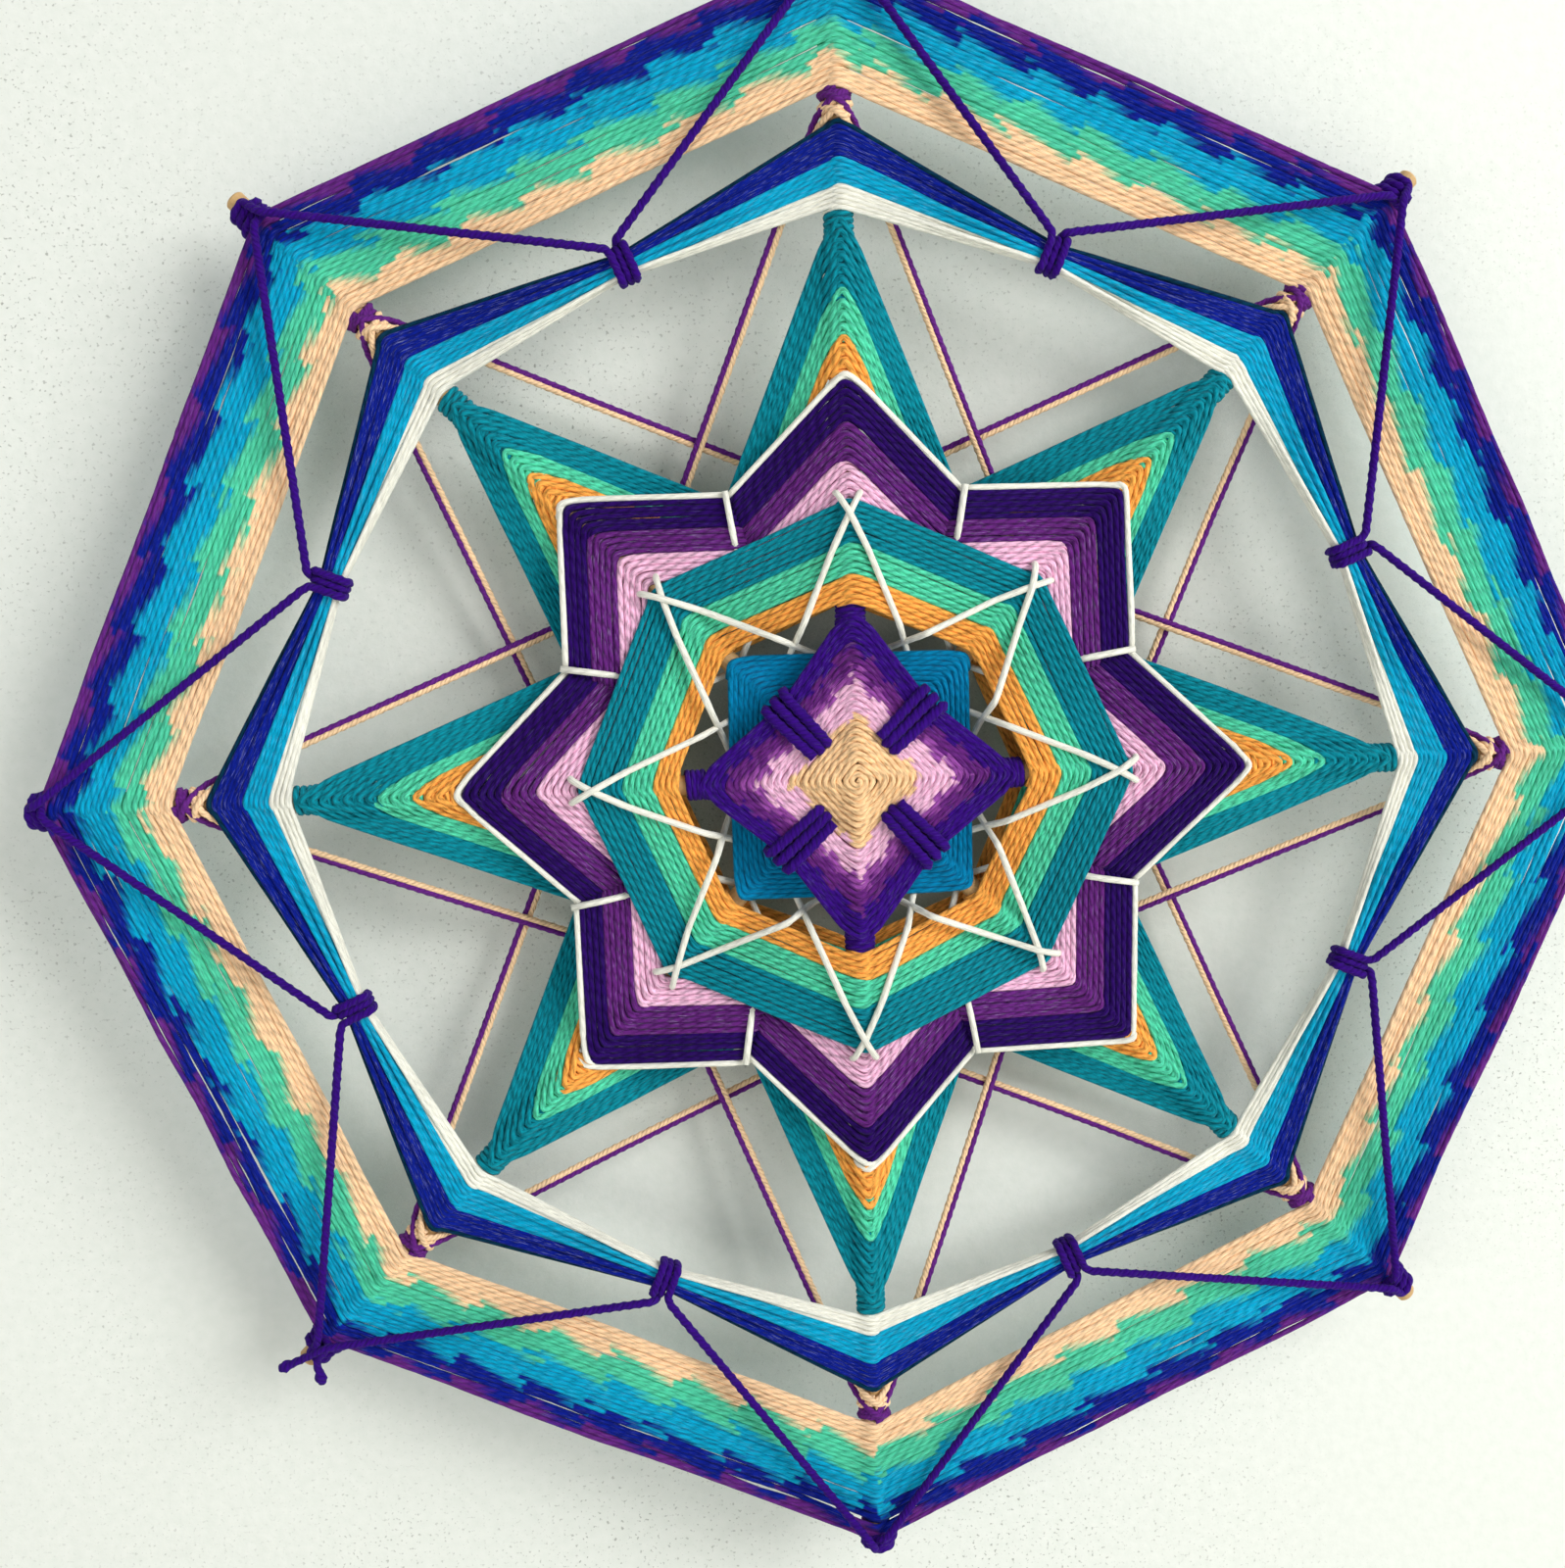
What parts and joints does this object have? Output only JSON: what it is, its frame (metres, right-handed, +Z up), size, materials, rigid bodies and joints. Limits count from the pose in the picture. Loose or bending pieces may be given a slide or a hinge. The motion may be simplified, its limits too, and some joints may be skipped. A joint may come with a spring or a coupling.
{
  "type": "ojo de dios yarn mandala",
  "caption": "Wall mandala of wool yarn wound on crossed wooden dowels: layered eyes, rings and stars inside a wide banded rim, laced with indigo cord.",
  "frame": {"origin": "on the axis through the hub where the dowels cross, at the middle of the object's depth", "axes": "+Z up along the vertical dowel as it hangs, front towards -Y, +X to the right seen from the front"},
  "size_m": [0.48, 0.035, 0.48],
  "materials": {
    "wood": "bare",
    "yarn_beige": "matte wool yarn",
    "yarn_pink": "matte wool yarn",
    "yarn_violet": "matte wool yarn",
    "yarn_indigo": "matte wool yarn",
    "yarn_turquoise": "matte wool yarn",
    "yarn_gold": "matte wool yarn",
    "yarn_mint": "matte wool yarn",
    "yarn_teal": "matte wool yarn",
    "yarn_white": "matte wool yarn",
    "yarn_plum": "matte wool yarn",
    "yarn_deep_indigo": "matte wool yarn",
    "yarn_cyan": "matte wool yarn",
    "yarn_royal": "matte wool yarn",
    "yarn_dark_teal": "matte wool yarn",
    "yarn_purple": "matte wool yarn",
    "yarn_peach": "matte wool yarn"
  },
  "bodies": {
    "root": {"dowel_vertical": "wood", "dowel_horizontal": "wood", "dowel_rising": "wood", "dowel_falling": "wood", "front_eye_beige": "yarn_beige", "front_eye_pink": "yarn_pink", "front_eye_purple": "yarn_violet", "front_eye_indigo": "yarn_indigo", "back_eye_turquoise": "yarn_turquoise", "eye_lashing_right_top": "yarn_indigo", "eye_lashing_right_bottom": "yarn_indigo", "eye_lashing_left_bottom": "yarn_indigo", "eye_lashing_left_top": "yarn_indigo", "octagon_gold": "yarn_gold", "octagon_mint": "yarn_mint", "octagon_teal": "yarn_teal", "octagon_white_star": "yarn_white", "diamond_pink": "yarn_pink", "diamond_plum": "yarn_plum", "diamond_indigo": "yarn_deep_indigo", "diamond_outline": "yarn_white", "square_pink": "yarn_pink", "square_plum": "yarn_plum", "square_indigo": "yarn_deep_indigo", "square_outline": "yarn_white", "star_gold": "yarn_gold", "star_mint": "yarn_mint", "star_teal": "yarn_teal", "ring_white": "yarn_white", "ring_cyan": "yarn_cyan", "ring_royal": "yarn_royal", "ring_dark": "yarn_dark_teal", "back_star_purple": "yarn_purple", "back_star_peach": "yarn_peach", "outer_peach": "yarn_peach", "outer_mint": "yarn_mint", "outer_cyan": "yarn_cyan", "outer_royal": "yarn_royal", "outer_purple": "yarn_purple", "indigo_lacing": "yarn_indigo", "notch_stem_right_top": "yarn_white", "notch_stem_right_bottom": "yarn_white", "notch_stem_left_bottom": "yarn_white", "notch_stem_left_top": "yarn_white"}
  },
  "joints": []
}
